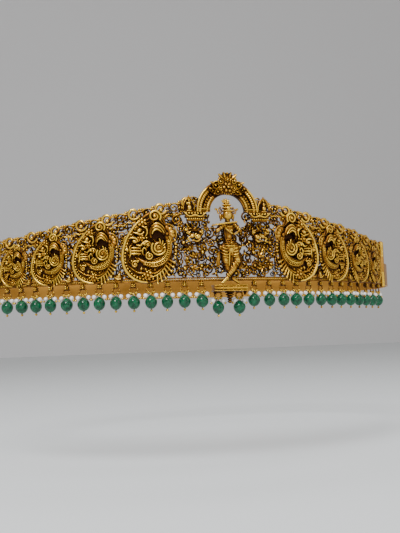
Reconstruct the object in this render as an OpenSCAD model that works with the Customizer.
/* [Front] */
// Radius of the front's curve
front_r = 210; // [205:1:215]
// Half the length of the openwork front, along its curve
front_half = 155; // [154:0.5:156]
// How far the front stands forward of the waist's centre
front_reach = 105; // [103:1:107]
// Thickness of the openwork plate
plate_t = 1.4; // [1.2:0.1:1.6]
// Gap between the plate and what is set on it
seat_gap = 0.15; // [0.12:0.01:0.2]

/* [Back band] */
// Radius of the band's two side bends
side_r = 75; // [74:1:78]
// Half the angle that the band's back bend covers
back_half_a = 30.6; // [29:0.2:32]
// Height of the plain band
band_h = 17; // [15:1:18]
// Thickness of the plain band
band_t = 1.4; // [1.2:0.1:1.6]

/* [Hinge and catch] */
// Outer radius of the hinge tube
tube_r = 2.1; // [2:0.05:2.3]
// Radius of the hinge pin
pin_r = 0.8; // [0.7:0.05:0.9]
// Radial clearance of the hinge pin
pin_fit = 0.04; // [0.02:0.01:0.08]
// Height of the lower end of the tube
tube_bottom = -1; // [-1.5:0.5:0]
// Height of the upper end of the tube
tube_top = 32.6; // [32:0.2:33]
// Gap between two segments of the tube
tube_gap = 0.25; // [0.2:0.05:0.4]

/* [Medallions] */
// Height of the largest medallion
medallion_h = 46; // [44:0.5:47]
// Width of the largest medallion
medallion_w = 32; // [30:0.5:33]

/* [Drops] */
// Number of drops on each side
drops = 14; // [12:1:14]
// Distance between two drops
drop_pitch = 10.6; // [10.4:0.1:10.8]
// Radius of a green bead
bead_r = 3.2; // [3:0.1:3.3]
// Half the height of a green bead
bead_half = 4.25; // [4:0.05:4.3]
// Radius of a pearl
pearl_r = 1.35; // [1.2:0.05:1.35]

/* [Hidden] */
SIDES = ["l", "r"];
DROPS = [for (i = [1 : 2 * drops]) str("emerald_", i < 10 ? "0" : "", i)];
MEDALLIONS = [for (side = SIDES, i = [1 : 4]) str("medallion_", side, i)];

gold = "#c8962e";
dark_gold = "#8a6420";
plain_gold = "#d9a860";
green = "#0f7a4c";
white = "#f1ece0";

$fn = 32;
eps = 0.01;

// The front's arc, from its centre line to the hinge
front_y = -front_reach;
front_centre = [0, front_y + front_r];
end_a = angle_of(front_half);
hinge = front_centre + front_r * [sin(end_a), -cos(end_a)];
// The side bend is tangent to the front at the hinge, and the back bend to the side bend
side_centre = hinge - side_r * [sin(end_a), -cos(end_a)];
back_r = side_r + side_centre[0] / sin(back_half_a);
back_centre = [0, side_centre[1] - (back_r - side_r) * cos(back_half_a)];

// Height of the front's top edge at distances from the centre line
TOP_S = 0;
TOP_Z = 1;
top_rows = [[0, 56], [20, 55], [30, 52], [43, 49.5], [79, 43], [111, 38], [138, 33.5], [155, 32.6]];

// Medallions from the centre outward: distance along the front, size against the largest, foot height
MED_S = 0;
MED_K = 1;
MED_Z = 2;
medallion_rows = [[51, 1, 0.4], [84.2, 0.85, 0.4], [114, 0.72, 0.4], [139.3, 0.6, 0.8]];
base_t = 1.2;
lean_share = 0.16;
// Spirals of a medallion: place across and up, outer radius, turns, start angle, in shares of its width
// and height, for a medallion on the right, whose centre-facing side is -X
SPIRAL_X = 0;
SPIRAL_Z = 1;
SPIRAL_R = 2;
SPIRAL_TURNS = 3;
SPIRAL_START = 4;
spiral_rows = [[-0.25, 0.47, 0.17, 1.6, 60], [-0.02, 0.35, 0.085, 1.2, 200], [-0.17, 0.93, 0.12, 1.4, 120],
    [0, 0.12, 0.09, 1.2, 20]];
// Bosses of a medallion: place across and up, radius, height, in the same shares
BOSS_X = 0;
BOSS_Z = 1;
BOSS_R = 2;
BOSS_UP = 3;
boss_rows = [[-0.15, 0.28, 0.2, 0.1], [-0.17, 0.72, 0.13, 0.13], [0.06, 0.83, 0.08, 0.07],
    [0.1, 0.68, 0.09, 0.08], [0.26, 0.66, 0.07, 0.06], [0.2, 0.54, 0.07, 0.06], [0.22, 0.25, 0.08, 0.06]];

// Drops hang from the plate's edge, but the first one on each side from the pedestal's ends
first_drop_s = 7;
first_drop_z = -4.1;
drop_sink = 0.3;
pedestal_top = -2;
pedestal_h = 4.3;
pedestal_w = 22;
ball_r = 1.5;
loop_r = 2;
loop_wire = 0.32;
eye_r = 0.7;
eye_wire = 0.17;
pin_wire = 0.2;
hang = eye_r - eye_wire - loop_wire - 0.1;
end_ball_r = 0.5;
pearl_ball_r = 0.4;
bead_gap = 0.12;
bead_bore = pin_wire + bead_gap;
bead_below_eye = 5.4;
edge_z = 0.2;
arch_outer_r = 20.6;
arch_inner_r = 11.4;
arch_centre_z = 43.8;
pearl_reach = 2.6;
// Pearls of a drop: place on the loop, sideways tilt and forward lean, in degrees
PEARL_AT = 0;
PEARL_TILT = 1;
PEARL_LEAN = 2;
pearl_rows = [[-50, -40, 6], [50, 40, 6], [25, 15, -66]];

function angle_of(s) = s / front_r * 180 / PI;
function lerp(a, b, t) = a + (b - a) * t;
function top_at(s, i = 0) =
    i == len(top_rows) - 2 || s <= top_rows[i + 1][TOP_S]
    ? lerp(top_rows[i][TOP_Z], top_rows[i + 1][TOP_Z],
        (s - top_rows[i][TOP_S]) / (top_rows[i + 1][TOP_S] - top_rows[i][TOP_S]))
    : top_at(s, i + 1);
function unrolled(s, z) = [front_r * sin(angle_of(s)), z];

// Puts children, drawn facing -Y at the origin, on the front at a distance from its centre line
module at_front(s, out = 0) {
    translate([front_centre[0], front_centre[1], 0])
        rotate([0, 0, angle_of(s)]) translate([0, -front_r - out, 0]) children();
}

// A profile drawn with X to the right and Y up, standing up and raised towards the front
module raised(h, base = 0) {
    translate([0, -base, 0]) rotate([90, 0, 0]) linear_extrude(h) children();
}

module on_side(side) {
    if (side == "l") mirror([1, 0, 0]) children();
    else children();
}

// Mango outline, tip up, standing on the origin: a half circle below and a leaning taper above
function mango(w, h, lean, steps = 9) = concat(
    [for (i = [0 : steps]) let (a = 180 + 180 * i / steps) [w / 2 * cos(a), w / 2 + w / 2 * sin(a)]],
    [for (i = [1 : steps]) let (u = i / steps)
        [lean * u * u + w / 2 * pow(1 - u * u, 0.7), lerp(w / 2, h, u)]],
    [for (i = [steps - 1 : -1 : 1]) let (u = i / steps)
        [lean * u * u - w / 2 * pow(1 - u * u, 0.7), lerp(w / 2, h, u)]]);

// Ribbon along a spiral that closes towards its eye
function spiral(r, turns, start, steps) = [for (i = [0 : steps]) let (t = i / steps)
    lerp(r, 0.2 * r, t) * [cos(start + 360 * turns * t), sin(start + 360 * turns * t)]];
module spiral_ribbon(r, turns, start, wide, steps = 16) {
    inner = [for (p = spiral(r, turns, start, steps)) p * (1 - wide / 2 / norm(p))];
    outer = [for (p = spiral(r, turns, start, steps)) p * (1 + wide / 2 / norm(p))];
    polygon(concat(outer, [for (i = [steps : -1 : 0]) inner[i]]));
    translate(spiral(r, turns, start, steps)[steps]) circle(wide * 0.62, $fn = 14);
}

module torus(r, wire) {
    rotate_extrude($fn = 24) translate([r, 0]) circle(wire, $fn = 16);
}

// The openwork front
scroll_r = 4;
scroll_eye = 1.9;
field_s = 13.2;
field_top = 36;
window_share = 0.225;
end_clear = tube_r + 1.3;

module gallery_outline() {
    right = [for (r = top_rows) unrolled(min(r[TOP_S], front_half - end_clear), r[TOP_Z] - scroll_r / 2)];
    left = [for (i = [len(right) - 1 : -1 : 0]) [-right[i][0], right[i][1]]];
    foot = unrolled(front_half - end_clear, edge_z);
    polygon(concat([[-foot[0], foot[1]], foot], [for (i = [len(right) - 1 : -1 : 0]) right[i]],
        [for (i = [len(left) - 1 : -1 : 0]) left[i]]));
    // Foot that stands on the pedestal
    translate([-pedestal_w / 2, pedestal_top + seat_gap]) square([pedestal_w, 4]);
    for (s = rail_places, side = [-1, 1])
        translate([side * unrolled(s, 0)[0], top_at(s) - scroll_r]) circle(scroll_r, $fn = 24);
}

rail_pitch = 8.3;
rail_places = [for (i = [0 : 15]) 25 + i * rail_pitch];

// Each row is a hole: distance along the front, height, radius
HOLE_S = 0;
HOLE_Z = 1;
HOLE_R = 2;
rail_holes = [for (s = rail_places) [s, top_at(s) - scroll_r, scroll_eye]];
field_holes = [for (row = [0 : 5], col = [0 : 2])
    [field_s + 1.2 + (row % 2) * 3 + col * 6.1, 4.8 + row * 6.6, 2]];
under_rail_holes = [for (i = [0 : 1]) [31 + i * 6.5, 40.5 + i * 1.6, 1.7]];
between_holes = [for (i = [0 : 2])
    let (a = medallion_rows[i], b = medallion_rows[i + 1],
        mid = (a[MED_S] + a[MED_K] * medallion_w / 2 + b[MED_S] - b[MED_K] * medallion_w / 2) / 2,
        high = b[MED_K] * medallion_h)
    each [[mid + 1.5, high * 0.84, 2.1], [mid + 1.2, high * 0.62, 1.5], [mid, high * 0.4, 0.9]]];
all_holes = concat(rail_holes, field_holes, under_rail_holes, between_holes);

module front_shell(r_out, r_in, z0, z1) {
    translate([front_centre[0], front_centre[1], z0]) rotate([0, 0, -90 - end_a])
        rotate_extrude(angle = 2 * end_a, $fn = 180)
            translate([r_in, 0]) square([r_out - r_in, z1 - z0]);
}

module plate() {
    difference() {
        intersection() {
            front_shell(front_r, front_r - plate_t, pedestal_top, 70);
            raised(140, -10) gallery_outline();
        }
        for (h = all_holes, side = [-1, 1])
            at_front(side * h[HOLE_S], 5) translate([0, 0, h[HOLE_Z]])
                rotate([-90, 0, 0]) cylinder(r = h[HOLE_R], h = 10, $fn = 20);
        for (m = medallion_rows, side = [-1, 1])
            at_front(side * m[MED_S], 5)
                translate([0, 0, m[MED_Z] + m[MED_K] * medallion_h * 0.42]) rotate([-90, 0, 0])
                    cylinder(r = m[MED_K] * medallion_h * window_share, h = 10, $fn = 32);
        // Niche behind the figure, open under the arch
        translate([0, front_y + 5, arch_centre_z]) rotate([90, 0, 0])
            cylinder(r = arch_inner_r, h = 10, $fn = 40);
        translate([-arch_inner_r + 1, front_y - 5, field_top - 2])
            cube([2 * arch_inner_r - 2, 10, arch_centre_z - field_top + 2]);
    }
}

// Buds between the medallions' feet: distance along the front, height, radius
bud_rows = [for (i = [0 : 2])
    let (a = medallion_rows[i], b = medallion_rows[i + 1],
        mid = (a[MED_S] + a[MED_K] * medallion_w / 2 + b[MED_S] - b[MED_K] * medallion_w / 2) / 2)
    [mid, 1 + 3.2 * b[MED_K], 3.4 * b[MED_K]]];
module bud(r) {
    difference() {
        union() {
            sphere(r, $fn = 24);
            translate([0, 0, 0.85 * r]) sphere(0.6 * r, $fn = 24);
        }
        translate([-2 * r, 0, -2 * r]) cube(4 * r);
    }
}
module buds(side) {
    color(gold) on_side(side) for (b = bud_rows)
        at_front(b[HOLE_S], seat_gap) translate([0, 0, b[HOLE_Z]]) bud(b[HOLE_R]);
}

module drop_hanger() {
    translate([0, 0, -ball_r]) sphere(ball_r, $fn = 20);
    translate([0, 0, loop_centre]) rotate([90, 0, 0]) torus(loop_r, loop_wire);
}

loop_centre = -2 * ball_r - loop_r + 0.35;
// Places of the drops: distance along the front, and the height that each hangs from
DROP_S = 0;
DROP_Z = 1;
drop_rows = [for (i = [0 : drops - 1])
    [first_drop_s + i * drop_pitch, i == 0 ? first_drop_z : edge_z]];
// Drops hang with small turns and tilts of their own, about the centre of their ball
drop_tilt = 2;
drop_turn = 10;
function own_tilt(i) = i == 0 ? 0 : drop_tilt * sin(100 * i);
function own_turn(i) = i == 0 ? 0 : drop_turn * sin(77 * i);

module at_drop(i, side) {
    at_front(side * drop_rows[i][DROP_S], -plate_t / 2)
        translate([0, 0, drop_rows[i][DROP_Z] + drop_sink - ball_r])
            rotate([0, side * own_tilt(i), side * own_turn(i)])
                translate([0, 0, ball_r]) children();
}

// A tube segment of the hinge or the catch
module tube_segment(z0, z1) {
    translate([0, 0, z0]) cylinder(r = tube_r, h = z1 - z0);
}
segment_h = (tube_top - tube_bottom - 2 * tube_gap) / 3;
low_end = tube_bottom + segment_h;
mid_start = low_end + tube_gap;
mid_end = mid_start + segment_h;
high_start = mid_end + tube_gap;
lug_w = 4.6;
lug_t = 1.6;
lug_inset = 0.6;

// Segments fixed to the front, with a short lug to the plate's end
module fixed_segments() {
    for (z = [[tube_bottom, low_end], [high_start, tube_top]]) {
        tube_segment(z[0], z[1]);
        low = max(z[0], edge_z) + lug_inset;
        high = min(z[1], tube_top - 2) - lug_inset;
        rotate([0, 0, end_a]) translate([-lug_w, 0.2, low]) cube([lug_w, lug_t, high - low]);
    }
}

module openwork_gallery() {
    color(dark_gold) difference() {
        union() {
            plate();
            for (i = [1 : drops - 1], side = [-1, 1]) at_drop(i, side) drop_hanger();
            for (side = SIDES) on_side(side) translate([hinge[0], hinge[1], 0]) fixed_segments();
        }
        translate([hinge[0], hinge[1], -5]) cylinder(r = pin_r + pin_fit / 2, h = 50);
        translate([-hinge[0], hinge[1], -5]) cylinder(r = catch_bore, h = 50);
        translate([-hinge[0] - catch_slot / 2, hinge[1], -5]) cube([catch_slot, 5, 50]);
    }
}
catch_bore = 1.25;
catch_slot = 2.1;

// Medallion on the right side, standing on its foot at the origin, facing -Y
module medallion(w, h) {
    outline = mango(w, h, -lean_share * w);
    rim = 0.055 * w;
    raised(base_t) polygon(outline);
    raised(0.05 * w, base_t - eps) difference() {
        polygon(outline);
        offset(delta = -rim) polygon(outline);
    }
    raised(0.03 * w, base_t - eps) difference() {
        offset(delta = -2.4 * rim) polygon(outline);
        offset(delta = -3.1 * rim) polygon(outline);
    }
    for (s = spiral_rows)
        translate([s[SPIRAL_X] * w, 0, s[SPIRAL_Z] * h]) raised(0.06 * w, base_t - eps)
            spiral_ribbon(s[SPIRAL_R] * w, s[SPIRAL_TURNS], s[SPIRAL_START], 0.05 * w);
    for (b = boss_rows)
        let (up = b[BOSS_UP] * w, r = b[BOSS_R] * w, ball = (r * r + up * up) / 2 / up)
            intersection() {
                translate([b[BOSS_X] * w, ball - up - base_t, b[BOSS_Z] * h]) sphere(ball, $fn = 32);
                translate([b[BOSS_X] * w - r, -base_t - up - 1, b[BOSS_Z] * h - r])
                    cube([2 * r, up + 1.5, 2 * r]);
            }
    for (i = [0 : 8]) let (a = 184 + i * 19)
        translate([0.36 * w * cos(a), -base_t - 0.01 * w, w / 2 + 0.36 * w * sin(a)])
            sphere(0.028 * w, $fn = 16);
    medallion_fan(w, h);
    medallion_gadroons(w);
}

// Half-round ribbed fan on the centre-facing side, near the top
module medallion_fan(w, h) {
    translate([-0.4 * w, 0, 0.7 * h]) {
        raised(base_t) circle(0.14 * w, $fn = 24);
        for (a = [120 : 30 : 240])
            translate([0.08 * w * cos(a), -base_t, 0.08 * w * sin(a)]) sphere(0.034 * w, $fn = 16);
    }
}

// Row of gadroons down round the centre-facing foot
module medallion_gadroons(w) {
    translate([0, 0, w / 2]) {
        raised(base_t) difference() {
            circle(0.57 * w, $fn = 60);
            circle(0.49 * w, $fn = 60);
            translate([-0.3 * w, -w]) square(2 * w);
            translate([-w, -0.04 * w]) square(2 * w);
        }
        for (a = [192 : 9 : 237])
            translate([0.545 * w * cos(a), -base_t, 0.545 * w * sin(a)]) sphere(0.03 * w, $fn = 16);
    }
}

module medallion_at(i, side) {
    m = medallion_rows[i];
    color(gold) on_side(side) at_front(m[MED_S], seat_gap) translate([0, 0, m[MED_Z]])
        medallion(m[MED_K] * medallion_w, m[MED_K] * medallion_h);
}

// The arch over the figure, with its foot at the springing
roll_r = 1.7;
inner_roll_r = 1.2;
arch_t = 1.8;
module half_ring(r, wire) {
    rotate([90, 0, 0]) rotate_extrude(angle = 180, $fn = 60) translate([r, 0]) circle(wire, $fn = 20);
}
module torana_arch() {
    color(gold) translate([0, front_y - seat_gap, arch_centre_z]) {
        raised(arch_t) difference() {
            circle(arch_outer_r - 0.6, $fn = 80);
            circle(arch_inner_r, $fn = 60);
            translate([-30, -60]) square(60);
        }
        translate([0, -arch_t, 0]) half_ring(arch_outer_r - roll_r, roll_r);
        translate([0, -arch_t, 0]) half_ring(arch_inner_r + 2.6, inner_roll_r);
        raised(arch_t + 0.8) difference() {
            circle(arch_inner_r + 1, $fn = 60);
            circle(arch_inner_r, $fn = 60);
            translate([-30, -60]) square(60);
        }
    }
}

// Flower cluster on the arch's apex
flower_z = 59.5;
module apex_flower() {
    out = front_y - 2 * seat_gap - arch_t - roll_r;
    color(gold) translate([0, out, flower_z]) difference() {
        union() {
            raised(1) {
                circle(5.6, $fn = 24);
                translate([0, 4.4]) circle(4.8, $fn = 24);
            }
            translate([0, -1, 0]) sphere(1.9);
            for (a = [0 : 60 : 300]) translate([3.5 * cos(a), -1, 3.5 * sin(a)]) sphere(1.4, $fn = 20);
            for (a = [30 : 40 : 150])
                translate([4.6 * cos(a), -0.9, 4.2 + 4.6 * sin(a)]) sphere(1.25, $fn = 20);
        }
        translate([-10, 0, -10]) cube(20);
    }
}

// Ornament on its stepped and beaded base, beside the arch's foot
finial_x = 21.4;
finial_base_w = 14.8;
finial_base_h = 6;
finial_base_t = 2.6;
finial_steps = 3;
step_in = 1.1;
step_out = 0.5;
bulb_r = 1.9;
halo_r = 3.4;
module finial() {
    color(gold) translate([0, front_y - seat_gap, arch_centre_z - seat_gap]) {
        step_h = finial_base_h / finial_steps;
        for (i = [0 : finial_steps - 1])
            translate([finial_x - finial_base_w / 2 + i * step_in, -finial_base_t - i * step_out,
                -(i + 1) * step_h])
                cube([finial_base_w - 2 * i * step_in, finial_base_t + i * step_out,
                    step_h + (i == 0 ? 0 : eps)]);
        for (i = [-3 : 3])
            translate([finial_x + i * bulb_r, -finial_base_t - 0.1, -1]) sphere(0.75, $fn = 16);
        translate([finial_x + halo_r, 0, 0]) {
            translate([0, 0, 3]) raised(1.4) circle(halo_r, $fn = 24);
            translate([-halo_r / 2, -2.4, -eps]) cube([halo_r, 2.4, 3]);
            translate([0, -2.2, 4]) sphere(bulb_r, $fn = 24);
            translate([0, -1.6, 4]) cylinder(r1 = 1.6, r2 = 0.4, h = 6.4, $fn = 24);
        }
    }
}

// The standing figure, leaning against the plate: joints of the body as across, out and up
module limb(a, b, ra, rb) {
    hull() {
        translate([a[0], -a[1], a[2]]) sphere(ra, $fn = 12);
        translate([b[0], -b[1], b[2]]) sphere(rb, $fn = 12);
    }
}
FROM = 0;
TO = 1;
R_FROM = 2;
R_TO = 3;
head_at = [-0.3, 2.6, 42.4];
limb_rows = [
    [[0, 2.4, 33.5], [0, 2.2, 26], 3.6, 2.7],
    [[-4.2, 2.2, 34.6], [4, 2.2, 34.8], 1.7, 1.7],
    [[0, 2.2, 26], [0.3, 2.2, 21], 2.7, 4],
    [[-2.6, 2.2, 20.6], [3, 2.2, 20.6], 3, 3],
    [[-0.2, 2.4, 36], [head_at[0], head_at[1], 39.4], 1.5, 1.5],
    [head_at, [-0.3, 2.5, 40], 3.2, 2.3],
    [[-0.3, 2.4, 45.4], [-0.9, 2.4, 49.4], 2.6, 1.2],
    [[-0.9, 2.4, 49.4], [-2.2, 2.4, 51.4], 1.2, 0.8],
    [[-3.6, 1.6, 44.6], [-5.4, 1.6, 46.2], 1.2, 1],
    [[3, 1.6, 44.6], [4.8, 1.6, 46.2], 1.2, 1],
    [[4.4, 2.4, 34.8], [6.6, 3.4, 30.4], 1.5, 1.3],
    [[6.6, 3.4, 30.4], [3.2, 5.6, 35.2], 1.3, 1],
    [[-4.6, 2.4, 34.4], [-6.8, 3.6, 30.8], 1.5, 1.3],
    [[-6.8, 3.6, 30.8], [-3.6, 5.4, 35], 1.3, 1],
    [[4.6, 5, 36.4], [-11.6, 4.8, 34.2], 0.55, 0.55],
    [[2.6, 2.4, 20], [5, 3, 12.4], 3.1, 2.2],
    [[5, 3, 12.4], [-1.8, 3.6, 3], 2.1, 1.2],
    [[-2.6, 2.2, 20], [-2.6, 2.2, 12.6], 3, 2.3],
    [[-2.6, 2.2, 12.6], [1.4, 2, 2.6], 2.1, 1.2],
    [[-1.8, 3.6, 2.4], [-5.2, 4, -0.7], 1.1, 0.95],
    [[1.4, 2, 2], [4.8, 2.6, -0.7], 1.1, 0.95],
    [[-4.8, 2, 19], [-6.8, 1.6, 10], 1.1, 1.3],
    [[5.6, 2, 19], [7.4, 1.6, 8.6], 1.1, 1.2]];
module figure() {
    color(gold) translate([0, front_y - seat_gap, 0]) intersection() {
        union() for (l = limb_rows) limb(l[FROM], l[TO], l[R_FROM], l[R_TO]);
        translate([-20, -20, pedestal_top + seat_gap]) cube([40, 20, 70]);
    }
}

// Bar under the feet, with its stem and the hangers of the two middle drops
pedestal_back = front_y + plate_t + 0.6;
pedestal_front = front_y - 5.6;
stem_r = 2.9;
stem_end_r = 1.1;
stem_h = 6;
module pedestal() {
    deep = pedestal_back - pedestal_front;
    slab = 1.3;
    color(dark_gold) {
        translate([-pedestal_w / 2, pedestal_front, pedestal_top - slab]) cube([pedestal_w, deep, slab]);
        translate([-pedestal_w / 2, pedestal_front, pedestal_top - pedestal_h])
            cube([pedestal_w, deep, slab]);
        translate([-pedestal_w / 2 + 0.6, pedestal_front + 0.9, pedestal_top - pedestal_h + slab - eps])
            cube([pedestal_w - 1.2, deep - 0.9, pedestal_h - 2 * slab + 2 * eps]);
        translate([0, front_y - 1.6, pedestal_top - pedestal_h - stem_h])
            cylinder(r1 = stem_end_r, r2 = stem_r, h = stem_h + eps, $fn = 32);
        translate([0, front_y - 1.6, pedestal_top - pedestal_h - stem_h - 0.5]) sphere(1.3, $fn = 20);
        for (side = [-1, 1]) at_drop(0, side) drop_hanger();
    }
}

// Raised leaves and a resting animal beside the figure, on one pierced sheet
spray_s = 22;
// Lumps of the spray: across from its middle, up, radius
LUMP_X = 0;
LUMP_Z = 1;
LUMP_R = 2;
lump_rows = [[-4.6, 31, 2.6], [0.6, 32, 3], [5, 29.6, 2.2], [6.4, 24.6, 2.4], [2.4, 21.6, 2],
    [-3.4, 24.4, 2.6], [-5.4, 18.4, 2.2], [-1, 15.6, 2.6], [4.4, 14.6, 2.4], [6, 8.6, 2.2], [1.4, 9, 2.6],
    [-4.6, 10, 2.4]];
module leaf_spray() {
    color(gold) at_front(spray_s, seat_gap + 0.1) {
        raised(1) {
            for (l = lump_rows) translate([l[LUMP_X], l[LUMP_Z]]) circle(l[LUMP_R], $fn = 16);
            for (i = [0 : len(lump_rows) - 2]) let (a = lump_rows[i], b = lump_rows[i + 1], d = b - a)
                translate([a[LUMP_X], a[LUMP_Z]]) rotate(atan2(d[LUMP_Z], d[LUMP_X]))
                    translate([0, -0.6]) square([norm([d[LUMP_X], d[LUMP_Z]]), 1.2]);
        }
        for (l = lump_rows) translate([l[LUMP_X], -1, l[LUMP_Z]]) difference() {
            sphere(l[LUMP_R] * 0.86, $fn = 20);
            translate([-4, 0.5, -4]) cube(8);
        }
    }
}

// The plain band from the hinge round the back to the catch: the side bends and the back bend
// are runs of short flats, and a thinner tab at each end reaches its tube segment
knuckle_clear = 1.4;
catch_rod_r = 0.9;
tab_t = 1;
side_steps = 36;
back_steps = 40;
hinge_a = end_a - 90;
band_start_a = hinge_a + (tube_r + knuckle_clear) / side_r * 180 / PI;
tab_end_a = band_start_a + 2;
function bend(centre, r, from, to, steps) =
    [for (i = [0 : steps]) let (a = lerp(from, to, i / steps)) centre + r * [cos(a), sin(a)]];
function mirrored(points) = [for (i = [len(points) - 1 : -1 : 0]) [-points[i][0], points[i][1]]];
function band_edge(out) = let (
    right = bend(side_centre, side_r + out, band_start_a, 90 - back_half_a, side_steps),
    back = bend(back_centre, back_r + out, 90 - back_half_a, 90 + back_half_a, back_steps))
    concat(right, [for (i = [1 : back_steps - 1]) back[i]], mirrored(right));
function backwards(points) = [for (i = [len(points) - 1 : -1 : 0]) points[i]];
module band_tab() {
    translate([0, 0, mid_start]) linear_extrude(segment_h)
        polygon(concat(bend(side_centre, side_r + tab_t / 2, hinge_a + 0.6, tab_end_a, 3),
            bend(side_centre, side_r - tab_t / 2, tab_end_a, hinge_a + 0.6, 3)));
    translate([hinge[0], hinge[1], 0]) tube_segment(mid_start, mid_end);
}
module back_band() {
    color(plain_gold) {
        difference() {
            union() {
                linear_extrude(band_h)
                    polygon(concat(band_edge(band_t / 2), backwards(band_edge(-band_t / 2))));
                band_tab();
                mirror([1, 0, 0]) band_tab();
            }
            translate([hinge[0], hinge[1], -5]) cylinder(r = pin_r + pin_fit, h = 50);
        }
        translate([-hinge[0], hinge[1], tube_bottom + 0.5])
            cylinder(r = catch_rod_r, h = tube_top - tube_bottom - 1);
    }
}

pin_head_r = 1.4;
pin_head_t = 0.6;
module hinge_pin() {
    color(gold) translate([hinge[0], hinge[1], 0]) {
        translate([0, 0, tube_bottom - pin_fit - eps])
            cylinder(r = pin_r, h = tube_top - tube_bottom + 2 * pin_fit + 2 * eps);
        for (z = [tube_bottom - pin_fit - pin_head_t, tube_top + pin_fit])
            translate([0, 0, z]) cylinder(r = pin_head_r, h = pin_head_t);
    }
}

// Puts children at a place on a drop's loop, with their own eye round its wire
module on_loop(at, tilt, lean) {
    translate([loop_r * sin(at), 0, loop_centre - loop_r * cos(at)])
        rotate([0, -tilt, 0]) rotate([-lean, 0, 0]) translate([0, 0, -hang]) children();
}
ball_grip = 0.06;
module eye_pin(length, ball) {
    rotate([0, 90, 0]) torus(eye_r, eye_wire);
    translate([0, 0, -length]) cylinder(r = pin_wire, h = length - eye_r, $fn = 16);
    translate([0, 0, -length]) sphere(ball, $fn = 16);
}

bead_steps = 14;
module emerald() {
    bore_a = asin(bead_bore / bead_r);
    profile = [for (i = [0 : bead_steps]) let (a = lerp(bore_a, 180 - bore_a, i / bead_steps))
        [bead_r * sin(a), bead_half * cos(a)]];
    color(green) rotate_extrude($fn = 32) polygon(profile);
}
module emerald_at(i, side) {
    at_drop(i, side) on_loop(0, 0, 0) translate([0, 0, -bead_below_eye]) emerald();
}
module head_pins() {
    color(gold) for (i = [0 : drops - 1], side = [-1, 1])
        at_drop(i, side) on_loop(0, 0, 0)
            eye_pin(bead_below_eye + bead_half + bead_gap + end_ball_r - ball_grip, end_ball_r);
}

module on_pearl_pins(side) {
    on_side(side) for (i = [0 : drops - 1], p = pearl_rows)
        at_drop(i, 1) on_loop(p[PEARL_AT], p[PEARL_TILT], p[PEARL_LEAN]) children();
}
module pearls(side) {
    color(white) on_pearl_pins(side) translate([0, 0, -pearl_reach]) difference() {
        sphere(pearl_r, $fn = 24);
        cylinder(r = bead_bore, h = 4 * pearl_r, center = true, $fn = 16);
    }
}
module pearl_pins(side) {
    color(gold) on_pearl_pins(side)
        eye_pin(pearl_reach + pearl_r + bead_gap + pearl_ball_r - ball_grip, pearl_ball_r);
}

openwork_gallery();
torana_arch();
apex_flower();
on_side("l") finial();  // finial_l
finial();  // finial_r
figure();
pedestal();
on_side("l") leaf_spray();  // leaf_spray_l
leaf_spray();  // leaf_spray_r
buds("l");  // buds_l
buds("r");  // buds_r
back_band();
hinge_pin();
head_pins();
pearls("l");  // pearls_l
pearls("r");  // pearls_r
pearl_pins("l");  // pearl_pins_l
pearl_pins("r");  // pearl_pins_r
for (side = SIDES, i = [0 : 3])
    medallion_at(i, side);
for (i = [0 : 2 * drops - 1])
    emerald_at(i < drops ? i : i - drops, i < drops ? -1 : 1);
